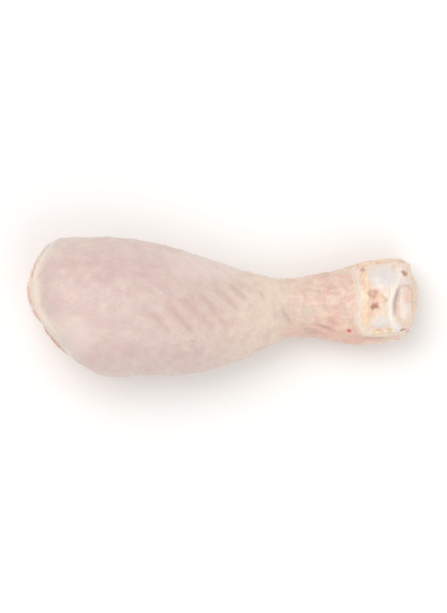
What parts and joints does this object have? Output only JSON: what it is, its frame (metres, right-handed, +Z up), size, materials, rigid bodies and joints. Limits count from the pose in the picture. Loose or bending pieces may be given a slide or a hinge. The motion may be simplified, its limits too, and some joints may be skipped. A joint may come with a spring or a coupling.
{
  "type": "raw chicken drumstick",
  "caption": "Raw chicken drumstick lying on its side: pale skin round a plump calf, bare meat at the knee end and an open hock joint.",
  "frame": {"origin": "on the surface the drumstick lies on, under the middle of its box", "axes": "+X along the leg from the knee end to the hock end, +Y across it, +Z up"},
  "size_m": [0.1369, 0.0495, 0.0426],
  "materials": {
    "skin": "satin",
    "meat": "satin",
    "bone": "gloss",
    "gristle": "satin"
  },
  "bodies": {
    "root": {"skin": "skin", "meat": "meat", "bone": "bone", "gristle": "gristle"}
  },
  "joints": []
}
